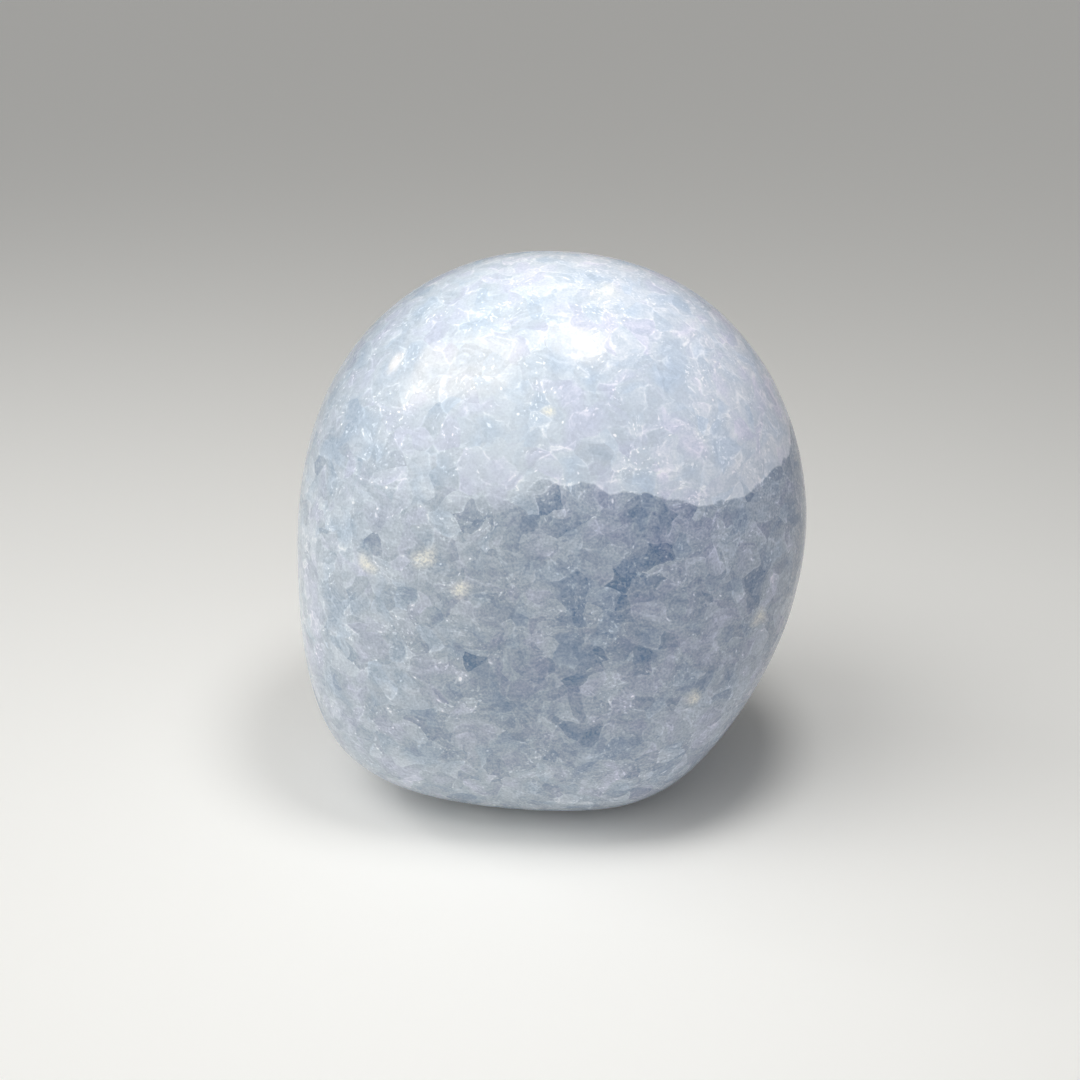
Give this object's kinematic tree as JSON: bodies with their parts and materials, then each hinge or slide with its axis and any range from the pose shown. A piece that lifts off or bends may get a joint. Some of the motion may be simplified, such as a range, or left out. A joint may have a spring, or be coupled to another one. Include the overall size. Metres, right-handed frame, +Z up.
{
  "type": "polished calcite stone",
  "caption": "Polished freeform of blue calcite: a domed, gently flattened stone, ground back towards a small flat foot that it stands on.",
  "frame": {"origin": "on the plane of the flat foot, under the middle of the stone's width and depth", "axes": "+Z up from the foot to the dome, +X to the right of the front face, -Y out of the front face"},
  "size_m": [0.1152, 0.09, 0.1255],
  "materials": {
    "calcite": "polished"
  },
  "bodies": {
    "root": {"calcite_stone": "calcite"}
  },
  "joints": []
}
